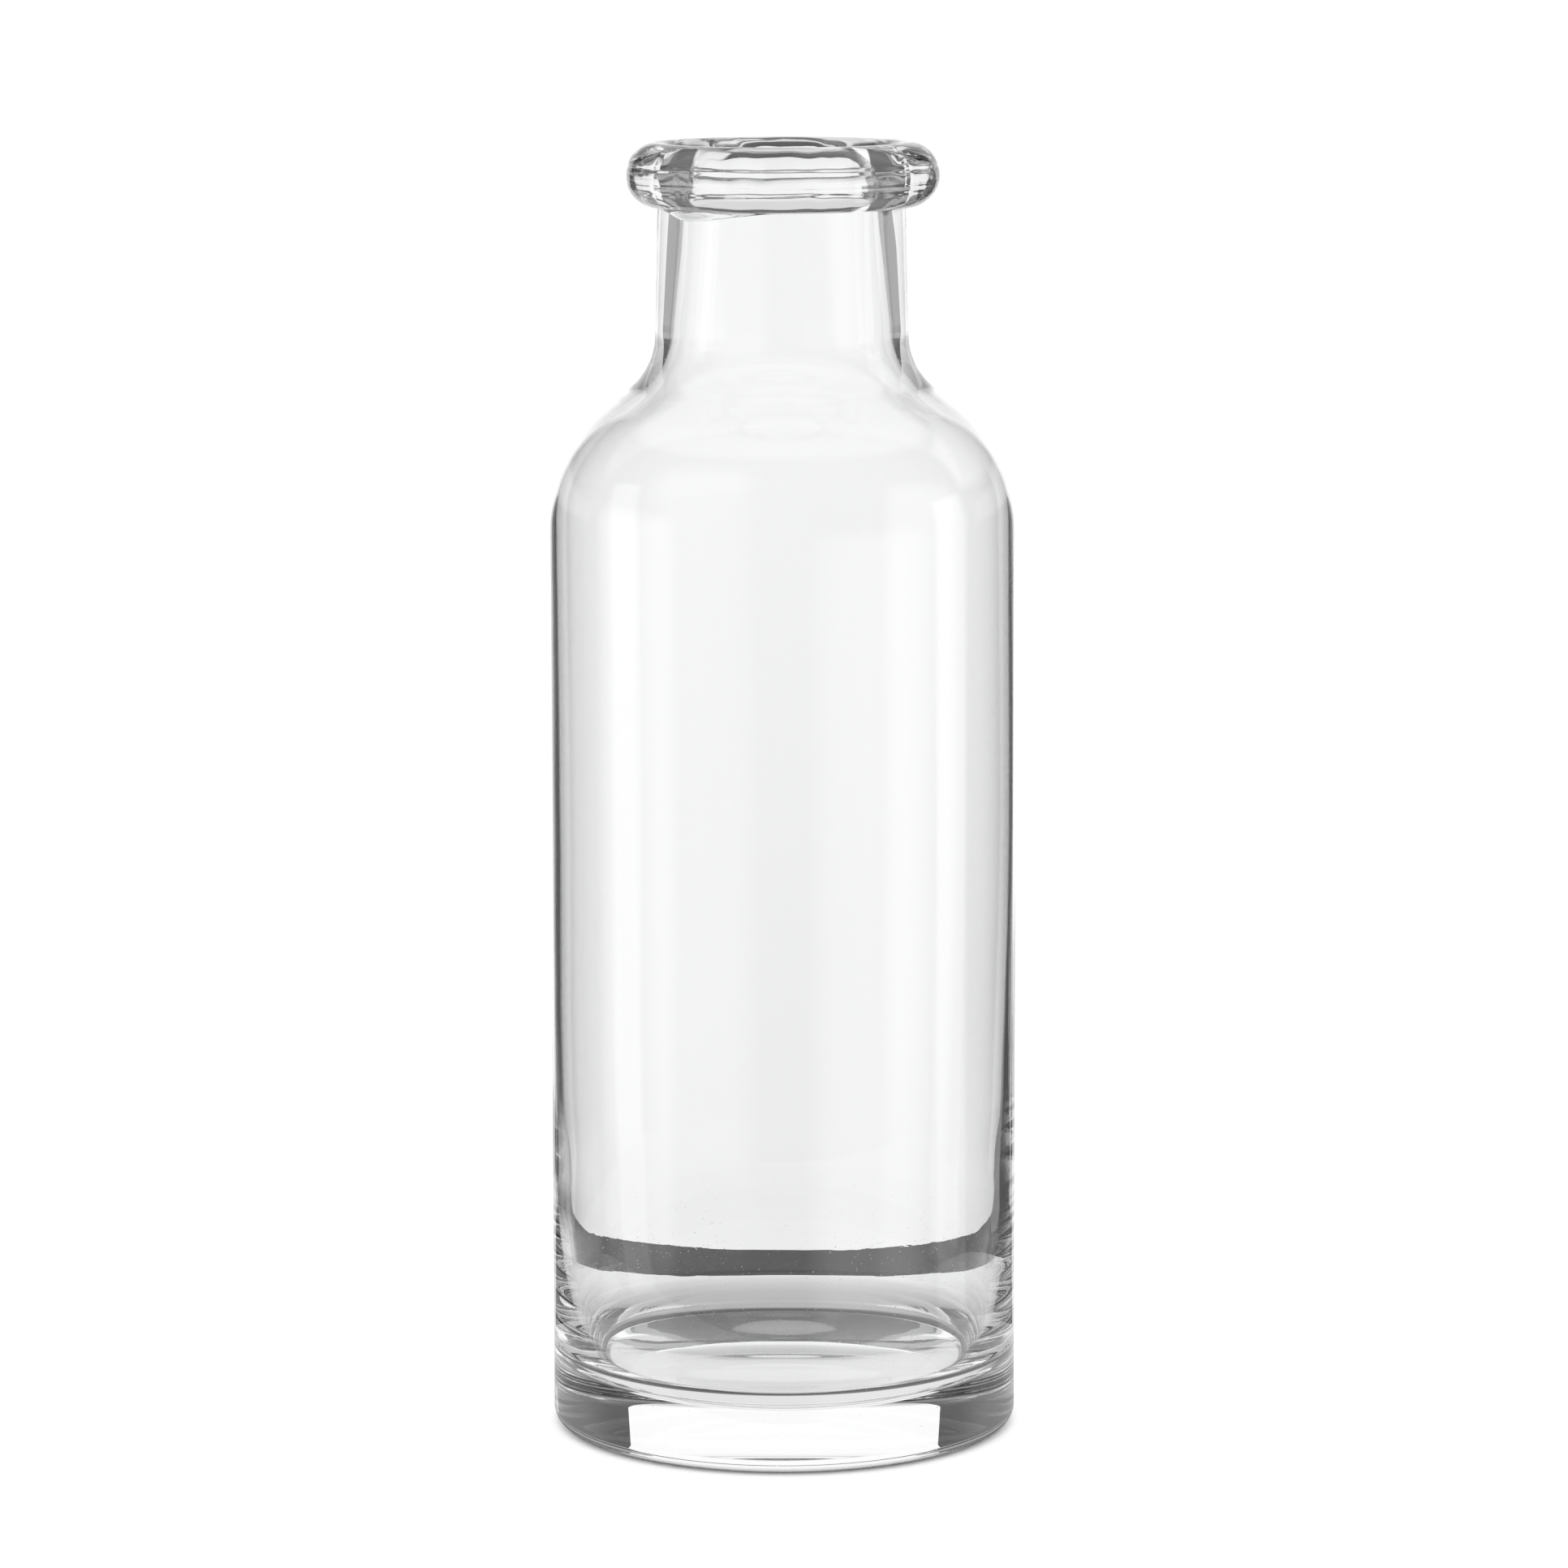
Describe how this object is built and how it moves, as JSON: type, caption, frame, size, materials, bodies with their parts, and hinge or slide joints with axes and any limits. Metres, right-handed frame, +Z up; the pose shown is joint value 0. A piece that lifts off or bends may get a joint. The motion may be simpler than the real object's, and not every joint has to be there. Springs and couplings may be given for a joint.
{
  "type": "glass bud vase",
  "caption": "Clear glass bottle-shaped bud vase with a heavy base, a rounded shoulder, a wide neck and a laid-on lip ring.",
  "frame": {"origin": "middle of the foot, on the surface the vase stands on", "axes": "+Z up along the vase's axis; X and Y are any two level directions, because the vase is round"},
  "size_m": [0.0904, 0.0904, 0.25],
  "materials": {
    "clear_glass": "gloss"
  },
  "bodies": {
    "root": {"bottle_body": "clear_glass", "lip_ring": "clear_glass"}
  },
  "joints": []
}
